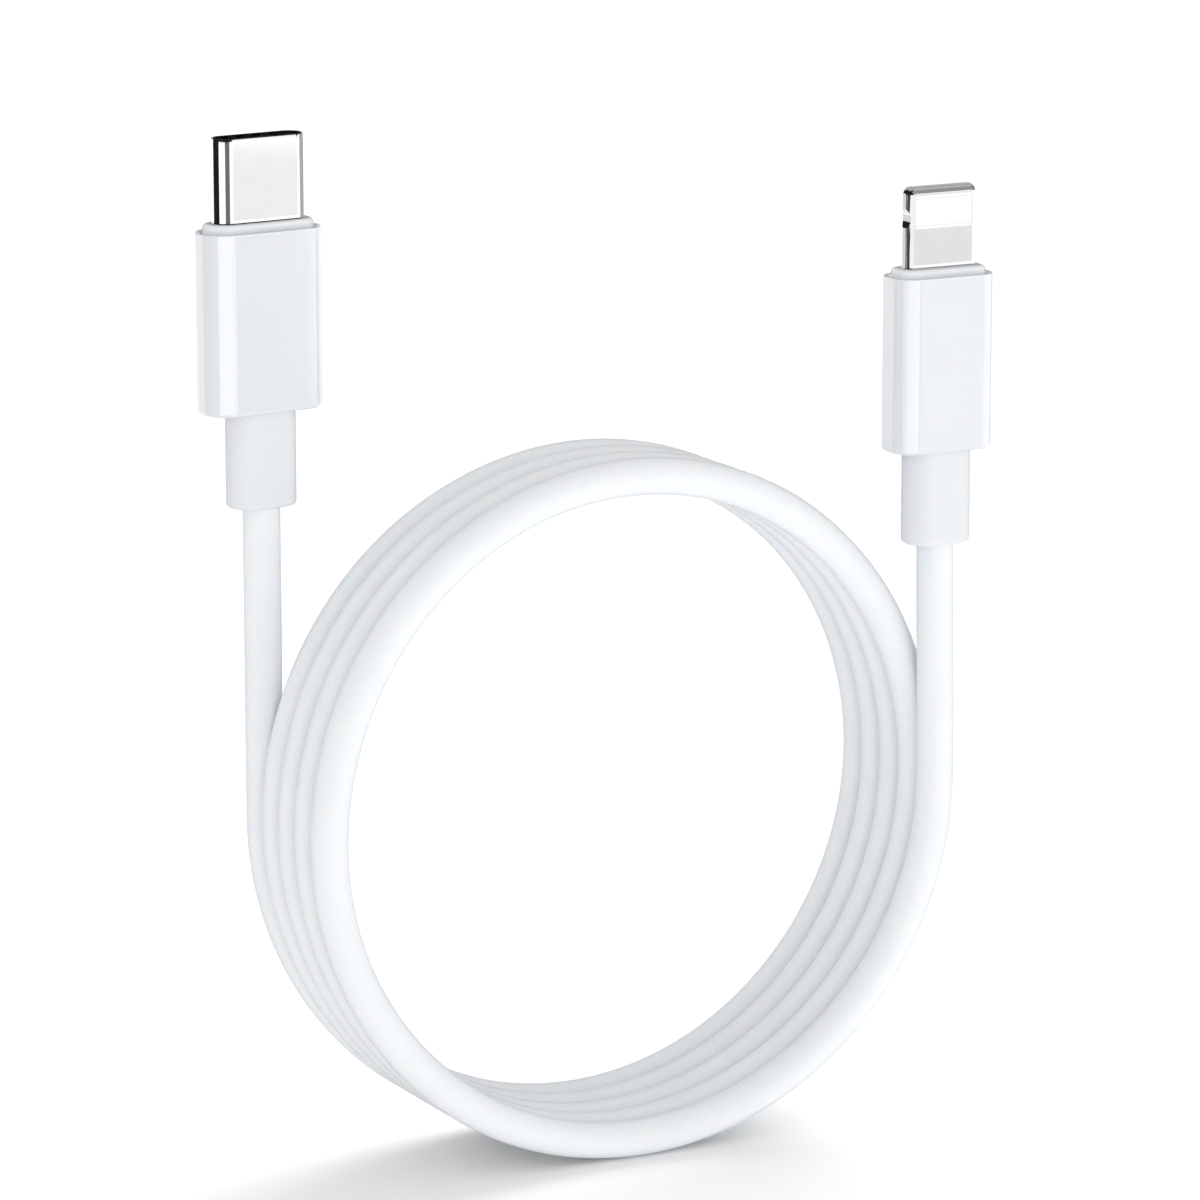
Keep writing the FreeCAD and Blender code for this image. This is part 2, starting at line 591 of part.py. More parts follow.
def check_cord(coil, leads):
    """Prints the cord's bend radius and lengths, and compares each solid with its cord.

    A coil solid of strands side by side fills their squares, apart from its rounded sides.
    """
    coil_length = TURNS * math.hypot(2 * math.pi * COIL_RADIUS, CORD_D)
    print("coil: bend radius %.1f mm, %.1f mm of cord, volume over squares times length %.3f"
          % (COIL_RADIUS, coil_length, coil.Volume / (coil_length * CORD_D ** 2)))
    section = math.pi * CORD_R ** 2
    for name, solid in leads.items():
        length = solid.BoundBox.ZLength
        print("%s: straight, %.2f mm, volume over section times length %.4f"
              % (name, length, solid.Volume / (section * length)))


# ---------------------------------------------------------------- assembly
def place(parts, x, y, z, yaw):
    """Turns the pieces about Z, then moves them; returns the placed copies."""
    placed = {}
    for name, shape in parts.items():
        copy = shape.copy()
        copy.rotate(V(0, 0, 0), V(0, 0, 1), yaw)
        copy.translate(V(x, y, z))
        placed[name] = copy
    return placed


def assembly():
    """Every node in the cable's own frame, whose origin is under the middle of its box."""
    type_c_x = -COIL_RADIUS
    tab_x = COIL_RADIUS - TAB_LEAD_INSET
    leads = {"type_c_lead": lead(C_BASE), "tab_lead": lead(T_BASE)}
    coil = coiled_cord()
    check_cord(coil, leads)
    parts = {"coiled_cord": coil}
    parts.update(place({"type_c_lead": leads["type_c_lead"]}, type_c_x, LEAD_Y, 0, 0))
    parts.update(place({"tab_lead": leads["tab_lead"]}, tab_x, -LEAD_Y, 0, 0))
    parts.update(place(type_c_plug(), type_c_x, LEAD_Y, C_BASE, C_YAW))
    parts.update(place(tab_plug(), tab_x, -LEAD_Y, T_BASE, 0))
    box = group(list(parts.values())).optimalBoundingBox(False, False)
    shift_x = -(box.XMin + box.XMax) / 2
    shift_y = -(box.YMin + box.YMax) / 2
    print("size %.2f x %.2f x %.2f mm" % (box.XLength, box.YLength, box.ZLength))
    print("coil axis at x %.3f y %.3f z %.3f" % (shift_x, shift_y, COIL_HEIGHT))
    print("type-C plug's base at x %.3f y %.3f z %.3f"
          % (type_c_x + shift_x, LEAD_Y + shift_y, C_BASE + COIL_HEIGHT))
    print("tab plug's base at x %.3f y %.3f z %.3f"
          % (tab_x + shift_x, -LEAD_Y + shift_y, T_BASE + COIL_HEIGHT))
    return place(parts, shift_x, shift_y, COIL_HEIGHT, 0)


def main():
    os.makedirs("parts", exist_ok=True)
    for name, shape in assembly().items():
        if not shape.isValid() or not shape.Solids:
            raise ValueError(name + " is not a sound solid")
        if len(shape.Solids) == 1:
            shape = shape.Solids[0]
        shape.exportStep("parts/" + name + ".step")
        print("%-28s %2d solids %9.3f mm3" % (name, len(shape.Solids), shape.Volume))


main()
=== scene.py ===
import json
import math
import bmesh
import bpy
from mathutils import Matrix, Vector


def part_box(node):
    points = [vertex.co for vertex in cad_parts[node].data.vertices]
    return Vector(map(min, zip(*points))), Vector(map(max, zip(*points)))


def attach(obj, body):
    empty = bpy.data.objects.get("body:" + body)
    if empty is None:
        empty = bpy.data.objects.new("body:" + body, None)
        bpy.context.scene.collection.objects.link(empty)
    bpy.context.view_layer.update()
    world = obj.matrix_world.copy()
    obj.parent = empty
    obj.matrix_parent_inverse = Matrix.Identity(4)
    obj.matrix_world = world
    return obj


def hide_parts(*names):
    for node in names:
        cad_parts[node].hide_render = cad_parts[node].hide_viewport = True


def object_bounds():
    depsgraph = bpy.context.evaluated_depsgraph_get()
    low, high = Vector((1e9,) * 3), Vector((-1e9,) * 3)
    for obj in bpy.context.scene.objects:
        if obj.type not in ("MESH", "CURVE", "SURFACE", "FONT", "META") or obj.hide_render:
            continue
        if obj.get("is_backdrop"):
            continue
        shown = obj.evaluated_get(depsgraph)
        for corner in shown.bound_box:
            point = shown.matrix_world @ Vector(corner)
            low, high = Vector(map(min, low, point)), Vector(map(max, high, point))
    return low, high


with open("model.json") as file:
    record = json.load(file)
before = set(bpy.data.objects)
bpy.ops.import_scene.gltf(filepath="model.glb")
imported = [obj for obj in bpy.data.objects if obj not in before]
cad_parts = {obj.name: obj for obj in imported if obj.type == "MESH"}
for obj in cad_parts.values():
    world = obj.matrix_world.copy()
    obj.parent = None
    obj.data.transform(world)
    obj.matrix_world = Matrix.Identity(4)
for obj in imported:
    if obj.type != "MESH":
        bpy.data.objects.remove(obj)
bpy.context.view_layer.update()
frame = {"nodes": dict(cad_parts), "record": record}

# Lengths in this script are millimetres, as in the CAD source; Blender's own unit is the metre.
MM = 0.001
BODY = "cable"
SHARP_ANGLE = 35          # degrees between two faces that makes their edge look sharp
SMALLEST_RADIUS = 0.01    # corners of a ring never get sharper than this
WELD = 1e-5               # points closer than this become one
SAME_HEIGHT = 1e-4        # heights closer than this are one height
OVERCUT = 1.0             # how far a cutter reaches past what it cuts

# ---------------------------------------------------------------- cord
CORD_D = 3.1
CORD_STEPS = 8            # facets between two control points, and round a quarter of the cord
COIL_RADIUS = 28.1        # coil axis to the centreline
TURNS = 4.5
STEPS_A_TURN = 24         # control points in one turn
LEAD_POINTS = 4
TAB_LEAD_BEND = 18.0      # height over the coil's axis where the tab's lead stands upright

# ---------------------------------------------------------------- both plugs
WALL = 0.45
FLOOR = 0.8
CASING_DEPTH = 4.8
CASING_LOWER_EDGE = 0.35
RIM_WIDTH = 0.15          # the casing's wall at its rim
RIM_TAPER = 0.45          # height over which the wall thins out to the rim
RIM_OUTER_EDGE = 0.09
RIM_INNER_EDGE = 0.04
BOSS_INSET = 0.65
BOSS_EDGE = 0.4
GROOVE_DEPTH = 0.5
SKIRT = 0.8
RELIEF_WIDTH = 5.9
RELIEF_DEPTH = 3.8
RELIEF_RADIUS = 1.7
RELIEF_LENGTH = 8.0
RELIEF_EDGE = 0.4
FLANGE_TOP = 2.0
CORNER_STEPS = 14         # facets in a quarter circle
EDGE_STEPS = 8            # facets across a rounded edge
SUPPORT = 0.03            # extra ring beside a slight bend, so that the flat stays flat

# ---------------------------------------------------------------- type-C plug
C_YAW = 5.5               # degrees
C_WIDTH = 11.0
C_RADIUS = 2.2
C_LENGTH = 14.9
C_BOSS = 0.7
C_FLANGE_WIDTH = 8.2
C_TONGUE = (8.25, 2.4, 1.2)
C_TONGUE_LENGTH = 6.95
C_SHEET = 0.15
C_SHELL_BOTTOM = 13.0
C_RIM = 0.07              # rounding of the shell's rim, each side of its sheet
C_LEAD_IN = 0.45          # slightly tapered end of the tongue

# ---------------------------------------------------------------- tab plug
T_WIDTH = 9.4
T_RADIUS = 1.8
T_LENGTH = 14.85
T_BOSS = 0.65
T_FLANGE_WIDTH = 7.4
T_TONGUE = (6.7, 1.5, 0.6)
T_TAB_LENGTH = 6.88
T_TIP = T_LENGTH + T_BOSS + T_TAB_LENGTH
T_TIP_CORNER = 0.7
T_FRAME_BOTTOM = 12.0
T_HOLLOW = (2.7, 0.4)     # half sizes of the hollow that holds the board
T_WINDOW = (18.85, 21.6)
T_NOTCH_Z = 19.7
T_NOTCH_R = 1.3
T_NOTCH_DEPTH = 0.27
NOTCH_STEPS = 192         # facets in the notch's full circle
T_CONTACTS = 8
T_PITCH = 0.68
T_CONTACT_WIDTH = 0.44
T_CONTACT_MARGIN = 0.2    # contact's ends to the window's edges
T_CONTACT_CORNER = 0.15
T_CONTACT_EDGE = 0.04

# ---------------------------------------------------------------- roots of both metal tongues
TAPER = 3.5               # degrees, at a tongue's root and at its tip
ROOT_TAPER = 0.2          # height of the tapered part over the root's rounding
ROOT_RADIUS = 0.5
ROOT_TURN = 14            # degrees that the root's rounding turns outwards
ROOT_START = 0.001        # the tab is straight up to this far under its rounding

# ---------------------------------------------------------------- camera
CAMERA_AZIMUTH = -27.87   # degrees, as for the lamps below
CAMERA_ELEVATION = 12.23
CAMERA_DISTANCE = 499.8
CAMERA_LENS = 179.9
CAMERA_SENSOR = 36        # millimetres
CAMERA_NEAR = 10.0        # nearest thing it sees
TARGET_RISE = 16.87       # aim above the coil's axis
TARGET_SHIFT = -0.38      # and to the picture's right of it

# ---------------------------------------------------------------- light
HORIZON = 1.15            # radiance of the even light from all round, at eye level
ZENITH = 0.88             # and straight above
DOME_IN_GLOSS = 0.015     # what polished surfaces see of it
FLOOR_RADIUS = 6000
FLOOR_GREY = 0.85
FLOOR_PATCH_GREY = 0.845
FLOOR_PATCHES = 400       # size of its faint patches
PANEL_DISTANCE = 400      # soft boxes stand this far from the plug they light

# Directions are in degrees: azimuth 0 is in front, 90 at the right and 180 behind; the
# camera stands near -28. Lamps: azimuth, elevation, spread, power.
FLOOR_LIGHT = (128, 42, 38, 1.6)
FRONT_LIGHT = (12, -38, 90, 0.76)
SIDE_LIGHT = (75, -5, 80, 0.15)

# Soft boxes round a plug: name, azimuths and elevations seen from the plug, radiance.
C_METAL_PANELS = (
    ("c_far_left", (-215, -139), (-40, -1), 1.15),
    ("c_left", (-80, -30), (-40, -1), 1.15),
    ("c_camera", (-30, 4), (-40, -1), 0.15),
    ("c_front", (4, 33), (-40, -1), 1.15),
    ("c_face", (33, 45), (-17, -7.5), 0.92),
    ("c_over_face", (33, 45), (-7.5, -1), 1.15),
    ("c_under_face", (33, 45), (-40, -17), 1.15),
    ("c_right", (45, 72), (-40, -1), 1.15),
    ("c_far_right", (72, 144), (-40, -1), 0.42),
    ("c_behind", (110, 194), (4, 20), 0.35),
)
T_METAL_PANELS = (
    ("t_side", (-158, -141), (-26, 3), 0.72),
    ("t_back", (-141, -132), (-40, -1), 1.05),
    ("t_camera", (-132, -50), (-40, -1), 0.05),
    ("t_front", (-50, 20), (-40, -1), 1.0),
    ("t_face", (20, 44), (-17, -7.5), 0.84),
    ("t_over_face", (20, 44), (-7.5, -1), 1.15),
    ("t_under_face", (20, 44), (-40, -17), 1.15),
    ("t_right", (44, 100), (-40, -1), 1.15),
    ("t_far_right", (100, 160), (-40, -1), 1.15),
    ("t_back_face", (160, 202), (-40, -2), 0.9),
    ("t_behind_low", (110, 194), (-2, 11), 0.9),
    ("t_behind", (110, 194), (11, 24), 0.6),
    ("t_behind_high", (110, 194), (24, 70), 0.45),
    ("t_above", (112, 192), (70, 120), 0.38),
    ("t_high_front", (-10, 86), (2, 58), 0.3),
)
CONTACT_PANELS = (
    ("contacts_front", (-10, 60), (-50, 20), 1.7),
)
C_GLOSS_PANELS = (
    ("c_gloss_left", (-195, -128), (-40, 15), 1.4),
    ("c_gloss_bright", (-50, 6), (-40, 15), 3.2),
    ("c_gloss_front", (6, 25), (-40, 15), 2.2),
    ("c_gloss_face", (36.5, 62), (-40, 15), 1.4),
    ("c_gloss_right", (62, 80), (-40, 15), 1.8),
    ("c_gloss_far_right", (95, 135), (-40, 15), 1.4),
    ("c_gloss_rim", (-60, 70), (20, 70), 5.0),
    ("c_gloss_behind", (137, 163), (-40, 15), 1.1),
)
T_GLOSS_PANELS = (
    ("t_gloss_left", (-163, -138), (-40, 15), 1.5),
    ("t_gloss_dim", (-75, -52), (-40, 15), 1.4),
    ("t_gloss_bright", (-52, 14), (-40, 15), 2.8),
    ("t_gloss_face", (25.5, 46), (-40, 15), 1.0),
    ("t_gloss_right", (46, 100), (-40, 15), 2.0),
    ("t_gloss_far_right", (114, 146), (-40, 15), 1.1),
    ("t_gloss_behind", (148, 195), (-40, 15), 1.1),
    ("t_gloss_rim", (-60, 80), (20, 70), 5.0),
)


# ---------------------------------------------------------------- places from the frame
def centre_of(node):
    """Middle of a CAD node's box, in millimetres."""
    low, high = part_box(node)
    return (low + high) / (2 * MM)


def top_of(node):
    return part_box(node)[1].z / MM


def bottom_of(node):
    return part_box(node)[0].z / MM


COIL_AXIS = centre_of("coiled_cord")
COIL_AXIS.z = top_of("coiled_cord") - COIL_RADIUS - CORD_D / 2
C_BASE = centre_of("type_c_lead")
C_BASE.z = bottom_of("type_c_casing")
T_BASE = centre_of("tab_lead")
T_BASE.z = bottom_of("tab_casing")


def plug_place(base, yaw):
    return Matrix.Translation(base * MM) @ Matrix.Rotation(math.radians(yaw), 4, "Z")


C_PLACE = plug_place(C_BASE, C_YAW)
T_PLACE = plug_place(T_BASE, 0)


# ---------------------------------------------------------------- materials
class Nodes:
    """A material's node tree with short calls for the nodes that these materials use."""

    def __init__(self, name):
        self.material = bpy.data.materials.new(name)
        self.material.use_nodes = True
        self.tree = self.material.node_tree
        self.shader = self.tree.nodes["Principled BSDF"]
        self.place = self.tree.nodes.new("ShaderNodeTexCoord").outputs["Object"]

    def node(self, kind, **settings):
        made = self.tree.nodes.new(kind)
        for key, value in settings.items():
            setattr(made, key, value)
        return made

    def link(self, source, target):
        self.tree.links.new(source, target)

    def set(self, **values):
        for key, value in values.items():
            self.shader.inputs[key.replace("_", " ")].default_value = value

    def noise(self, grain, detail=2.0, stretch=(1, 1, 1)):
        """Noise whose features are grain millimetres across, longer where stretch is over 1."""
        mapping = self.node("ShaderNodeMapping")
        mapping.inputs["Scale"].default_value = [1 / (grain * MM * s) for s in stretch]
        self.link(self.place, mapping.inputs["Vector"])
        noise = self.node("ShaderNodeTexNoise")
        noise.inputs["Scale"].default_value = 1.0
        noise.inputs["Detail"].default_value = detail
        self.link(mapping.outputs["Vector"], noise.inputs["Vector"])
        return noise.outputs["Fac"]

    def spread(self, value, low, high):
        """Maps the middle of a noise's range onto low to high."""
        ranged = self.node("ShaderNodeMapRange")
        ranged.inputs["From Min"].default_value = 0.3
        ranged.inputs["From Max"].default_value = 0.7
        ranged.inputs["To Min"].default_value = low
        ranged.inputs["To Max"].default_value = high
        self.link(value, ranged.inputs["Value"])
        return ranged.outputs["Result"]

    def tinted(self, value, colour, other):
        """Mixes two colours by a noise."""
        mix = self.node("ShaderNodeMix", data_type="RGBA")
        mix.inputs["A"].default_value = (*colour, 1)
        mix.inputs["B"].default_value = (*other, 1)
        self.link(self.spread(value, 0, 1), mix.inputs["Factor"])
        self.link(mix.outputs["Result"], self.shader.inputs["Base Color"])

    def rough(self, value, low, high):
        self.link(self.spread(value, low, high), self.shader.inputs["Roughness"])

    def bump(self, value, height):
        """Bump whose full noise range is height millimetres."""
        bump = self.node("ShaderNodeBump")
        bump.inputs["Distance"].default_value = height * MM
        self.link(value, bump.inputs["Height"])
        self.link(bump.outputs["Normal"], self.shader.inputs["Normal"])


def shade(colour, factor):
    return tuple(min(1, channel * factor) for channel in colour)


def moulded(name, colour, roughness, grain, height, variation=0.985, **settings):
    """Plastic or rubber: faint colour clouds, uneven gloss and a fine moulded grain."""
    nodes = Nodes(name)
    clouds = nodes.noise(4.0)
    fine = nodes.noise(grain, detail=4.0)
    nodes.tinted(clouds, colour, shade(colour, variation))
    nodes.rough(nodes.noise(grain * 6), roughness * 0.85, roughness * 1.15)
    nodes.bump(fine, height)
    nodes.set(**settings)
    return nodes.material


def metal(name, colour, roughness, stretch, height, grain=0.05, **settings):
    """Bare metal with rolling or polishing lines along one direction."""
    nodes = Nodes(name)
    lines = nodes.noise(grain, detail=3.0, stretch=stretch)
    nodes.tinted(nodes.noise(2.0), colour, shade(colour, 0.96))
    nodes.rough(lines, roughness * 0.7, roughness * 1.3)
    nodes.bump(lines, height)
    nodes.set(Metallic=1.0, **settings)
    return nodes.material


def solder_mask(name, colour):
    """Circuit board lacquer: glossy, with darker and lighter patches over its copper."""
    nodes = Nodes(name)
    nodes.tinted(nodes.noise(0.8, detail=0.0), colour, shade(colour, 1.5))
    nodes.rough(nodes.noise(0.5), 0.25, 0.4)
    nodes.bump(nodes.noise(0.3), 0.01)
    return nodes.material


def make_materials():
    """One material for each of the record's slots."""
    return {
        "cord_jacket": moulded("cord_jacket", (0.80, 0.825, 0.845), 0.42, 0.12, 0.003,
                               Subsurface_Weight=0.35, Subsurface_Scale=0.6 * MM),
        "casing_white": moulded("casing_white", (0.69, 0.705, 0.725), 0.10, 0.9, 0.0015,
                                IOR=1.55),
        "collar_white": moulded("collar_white", (0.81, 0.83, 0.85), 0.18, 0.5, 0.0015),
        "relief_white": moulded("relief_white", (0.725, 0.745, 0.77), 0.38, 0.1, 0.003,
                                Subsurface_Weight=0.25, Subsurface_Scale=0.6 * MM),
        "shell_steel": metal("shell_steel", (0.93, 0.93, 0.935), 0.05, (1, 1, 40), 0.00004),
        "tab_steel": metal("tab_steel", (0.9, 0.9, 0.905), 0.08, (1, 1, 40), 0.00006),
        "shield_steel": metal("shield_steel", (0.62, 0.63, 0.64), 0.3, (1, 1, 30), 0.001),
        "spring_steel": metal("spring_steel", (0.7, 0.7, 0.71), 0.2, (1, 1, 30), 0.0005),
        "contact_gold": metal("contact_gold", (0.9, 0.66, 0.28), 0.2, (1, 1, 20), 0.0003),
        "contact_pale": metal("contact_pale", (0.93, 0.91, 0.87), 0.25, (1, 1, 20), 0.0002),
        "carrier_black": moulded("carrier_black", (0.018, 0.018, 0.02), 0.45, 0.08, 0.003,
                                 0.8),
        "insulator_pale": moulded("insulator_pale", (0.92, 0.92, 0.915), 0.3, 0.08, 0.001),
        "board_green": solder_mask("board_green", (0.02, 0.16, 0.06)),
        "chip_black": moulded("chip_black", (0.02, 0.02, 0.022), 0.5, 0.06, 0.003, 0.7),
        "chip_tan": moulded("chip_tan", (0.42, 0.3, 0.17), 0.4, 0.08, 0.002, 0.8),
        "mould_natural": moulded("mould_natural", (0.72, 0.7, 0.62), 0.45, 0.2, 0.004, 0.9,
                                 Subsurface_Weight=0.4, Subsurface_Scale=1.0 * MM),
        "crimp_tin": metal("crimp_tin", (0.72, 0.72, 0.7), 0.35, (1, 1, 1), 0.003),
        "core_red": moulded("core_red", (0.5, 0.02, 0.015), 0.4, 0.06, 0.001, 0.85),
        "core_black": moulded("core_black", (0.02, 0.02, 0.02), 0.4, 0.06, 0.001, 0.7),
        "core_white": moulded("core_white", (0.8, 0.8, 0.78), 0.4, 0.06, 0.001, 0.95),
        "core_green": moulded("core_green", (0.02, 0.26, 0.06), 0.4, 0.06, 0.001, 0.85),
    }


MATERIALS = make_materials()


# ---------------------------------------------------------------- mesh building
def add_piece(name, data, slot, nodes, place=Matrix.Identity(4)):
    """Puts a mesh or curve in the scene as a piece that stands for CAD nodes."""
    piece = bpy.data.objects.new(name, data)
    bpy.context.scene.collection.objects.link(piece)
    piece.matrix_world = place
    data.materials.clear()
    data.materials.append(MATERIALS[slot])
    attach(piece, BODY)
    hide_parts(*nodes)
    return piece


def smooth(piece):
    """Smooth shading that keeps flats flat and sharp edges sharp."""
    piece.data.shade_smooth()
    piece.data.set_sharp_from_angle(angle=math.radians(SHARP_ANGLE))
    normals = piece.modifiers.new("face_weighted_normals", "WEIGHTED_NORMAL")
    normals.keep_sharp = True
    return piece


def ring_points(width, depth, radius, z):
    """A rounded rectangle at height z, counter-clockwise from the middle of its right side."""
    points = []
    for quarter, (sx, sy) in enumerate(((1, 1), (-1, 1), (-1, -1), (1, -1))):
        for step in range(CORNER_STEPS + 1):
            angle = math.pi / 2 * (quarter + step / CORNER_STEPS)
            points.append(Vector((sx * (width / 2 - radius) + radius * math.cos(angle),
                                  sy * (depth / 2 - radius) + radius * math.sin(angle),
                                  z)))
    return points


def inset(outline, distance, z):
    """An outline (width, depth, corner radius), moved inwards, as a ring at height z."""
    width, depth, radius = outline
    return (width - 2 * distance, depth - 2 * distance, max(radius - distance, SMALLEST_RADIUS), z)


def rounded_edge(outline, start, radius, z, side):
    """Rings round an outer edge at the end z, from the side wall to the flat end.

    start is the wall's inset; side is 1 for an upper end and -1 for a lower one.
    """
    rings = []
    for step in range(EDGE_STEPS + 1):
        angle = math.pi / 2 * step / EDGE_STEPS
        rings.append(inset(outline, start + radius * (1 - math.cos(angle)),
                           z - side * radius * (1 - math.sin(angle))))
    return rings


def inner_edge(outline, wall, radius, z):
    """Rings round an inner upper edge, from the flat end down to the inner wall."""
    rings = []
    for step in range(EDGE_STEPS + 1):
        angle = math.pi / 2 * step / EDGE_STEPS
        rings.append(inset(outline, wall - radius * (1 - math.sin(angle)),
                           z - radius * (1 - math.cos(angle))))
    return rings


def add_skin(mesh, loops, hollow):
    """Joins loops of points into a skin; a hollow one leads back to its first loop."""
    rows = [[mesh.verts.new(point * MM) for point in loop] for loop in loops]
    count = len(rows[0])
    for low, high in zip(rows, rows[1:] + (rows[:1] if hollow else [])):
        for index in range(count):
            after = (index + 1) % count
            mesh.faces.new((low[index], low[after], high[after], high[index]))
    if not hollow:
        mesh.faces.new(rows[0])
        mesh.faces.new(rows[-1])


def mesh_data(name, mesh):
    """Cleans a finished bmesh and turns it into mesh data."""
    bmesh.ops.remove_doubles(mesh, verts=mesh.verts, dist=WELD * MM)
    bmesh.ops.recalc_face_normals(mesh, faces=mesh.faces)
    data = bpy.data.meshes.new(name)
    mesh.to_mesh(data)
    mesh.free()
    return data


def lofted(name, rings, slot, nodes, place):
    """A hollow closed skin through rings that lead round its wall and back to the first."""
    mesh = bmesh.new()
    add_skin(mesh, [ring_points(*ring) for ring in rings], hollow=True)
    return smooth(add_piece(name, mesh_data(name, mesh), slot, nodes, place))


def root_profile():
    """How far a tongue's root stands out, as (outwards, height over the collar), upwards."""
    taper = math.radians(TAPER)
    turn = math.radians(ROOT_TURN)
    fillet_height = ROOT_RADIUS * (math.sin(turn) - math.sin(taper))
    profile = []
    for step in range(EDGE_STEPS + 1):
        angle = turn + (taper - turn) * step / EDGE_STEPS
        out = ROOT_TAPER * math.tan(taper) + ROOT_RADIUS * (math.cos(taper) - math.cos(angle))
        height = fillet_height - ROOT_RADIUS * (math.sin(angle) - math.sin(taper))
        profile.append((out, height))
    profile.append((0, fillet_height + ROOT_TAPER))
    profile.append((0, fillet_height + ROOT_TAPER + SUPPORT))
    return profile


# ---------------------------------------------------------------- pieces both plugs have
def casing(prefix, outline, length, place):
    """Moulded sleeve with a rounded lower edge, a thin rim and an opening in its floor."""
    opening = (RELIEF_WIDTH, RELIEF_DEPTH, RELIEF_RADIUS)
    rings = [(*opening, 0)]
    rings += reversed(rounded_edge(outline, 0, CASING_LOWER_EDGE, 0, -1))
    rings += rounded_edge(outline, 0, RIM_OUTER_EDGE, length, 1)
    rings += inner_edge(outline, RIM_WIDTH, RIM_INNER_EDGE, length)
    rings += [inset(outline, WALL, length - RIM_TAPER), inset(outline, WALL, FLOOR)]
    rings += [(*opening, FLOOR)]
    return lofted(prefix + "_casing_shell", rings, "casing_white", [prefix + "_casing"], place)


def collar(prefix, outline, tongue, length, boss, place):
    """End piece: a skirt inside the casing and a rounded boss round the metal."""
    bottom = length - SKIRT
    skirt_top = length - GROOVE_DEPTH
    rings = [(*tongue, bottom), inset(outline, WALL, bottom), inset(outline, WALL, skirt_top),
             inset(outline, BOSS_INSET, skirt_top)]
    rings += rounded_edge(outline, BOSS_INSET, BOSS_EDGE, length + boss, 1)
    rings += [(*tongue, length + boss)]
    return lofted(prefix + "_collar_boss", rings, "collar_white", [prefix + "_collar"], place)


def strain_relief(prefix, flange_width, place):
    """Soft sleeve on the cord, with a rounded lower end and the flange that holds it."""
    outline = (RELIEF_WIDTH, RELIEF_DEPTH, RELIEF_RADIUS)
    flange = (flange_width, RELIEF_DEPTH, RELIEF_RADIUS)
    bore = (CORD_D, CORD_D, CORD_D / 2)
    rings = [(*bore, -RELIEF_LENGTH)]
    rings += reversed(rounded_edge(outline, 0, RELIEF_EDGE, -RELIEF_LENGTH, -1))
    rings += [(*outline, FLOOR), (*flange, FLOOR), (*flange, FLANGE_TOP), (*bore, FLANGE_TOP)]
    return lofted(prefix + "_relief_sleeve", rings, "relief_white",
                  [prefix + "_strain_relief"], place)


# ---------------------------------------------------------------- type-C plug
def type_c_tongue():
    """Polished steel sleeve with a rounded root, a slightly tapered end and a rounded rim."""
    collar_top = C_LENGTH + C_BOSS
    tip = collar_top + C_TONGUE_LENGTH
    tapered = (C_LEAD_IN - C_RIM) * math.tan(math.radians(TAPER))
    rings = [(*C_TONGUE, C_SHELL_BOTTOM), (*C_TONGUE, collar_top)]
    rings += [inset(C_TONGUE, -out, collar_top + height) for out, height in root_profile()]
    rings += [inset(C_TONGUE, 0, tip - C_LEAD_IN - SUPPORT), inset(C_TONGUE, 0, tip - C_LEAD_IN)]
    rings += rounded_edge(C_TONGUE, tapered, C_RIM, tip, 1)
    rings += inner_edge(C_TONGUE, C_SHEET + tapered, C_RIM, tip)
    rings += [inset(C_TONGUE, C_SHEET, tip - C_LEAD_IN), inset(C_TONGUE, C_SHEET, C_SHELL_BOTTOM)]
    return lofted("type_c_tongue", rings, "shell_steel", ["type_c_shell"], C_PLACE)


def type_c_plug():
    outline = (C_WIDTH, CASING_DEPTH, C_RADIUS)
    return {"casing": casing("type_c", outline, C_LENGTH, C_PLACE),
            "collar": collar("type_c", outline, C_TONGUE, C_LENGTH, C_BOSS, C_PLACE),
            "relief": strain_relief("type_c", C_FLANGE_WIDTH, C_PLACE),
            "tongue": type_c_tongue()}


# ---------------------------------------------------------------- tab plug
def arc(centre, radius, start, end):
    """Points (x, z) on an arc, angles in degrees."""
    points = []
    for step in range(CORNER_STEPS + 1):
        angle = math.radians(start + (end - start) * step / CORNER_STEPS)
        points.append((centre[0] + radius * math.cos(angle),
                       centre[1] + radius * math.sin(angle)))
    return points


def tab_loop(distance, y):
    """The tab's outline at depth y, moved inwards: right side, round tip corners, left side."""
    half = T_TONGUE[0] / 2
    right = [(half - distance, T_FRAME_BOTTOM)]
    right += arc((half - T_TIP_CORNER, T_TIP - T_TIP_CORNER), T_TIP_CORNER - distance, 0, 90)
    return [Vector((x, y, z)) for x, z in right + [(-x, z) for x, z in reversed(right)]]


def flare_root(mesh, collar_top):
    """Rounds the tab's root outwards where it comes out of the collar."""
    width, depth, radius = T_TONGUE
    profile = root_profile()
    heights = [collar_top + height for out, height in profile] + [collar_top - ROOT_START]
    for height in heights:
        everything = mesh.verts[:] + mesh.edges[:] + mesh.faces[:]
        bmesh.ops.bisect_plane(mesh, geom=everything, plane_co=(0, 0, height * MM),
                               plane_no=(0, 0, 1))
    for vert in mesh.verts:
        point = vert.co / MM
        for out, height in profile:
            if abs(point.z - collar_top - height) < SAME_HEIGHT:
                core = Vector((max(-width / 2 + radius, min(width / 2 - radius, point.x)),
                               max(-depth / 2 + radius, min(depth / 2 - radius, point.y)),
                               point.z))
                vert.co = (point + (point - core).normalized() * out) * MM


def box_cutter(half_x, half_y, low, high):
    """A box centred on Z, between two heights."""
    mesh = bmesh.new()
    bmesh.ops.create_cube(mesh, size=1)
    size = Matrix.Diagonal((2 * half_x * MM, 2 * half_y * MM, (high - low) * MM, 1))
    middle = Matrix.Translation((0, 0, (low + high) / 2 * MM))
    bmesh.ops.transform(mesh, matrix=middle @ size, verts=mesh.verts)
    return mesh


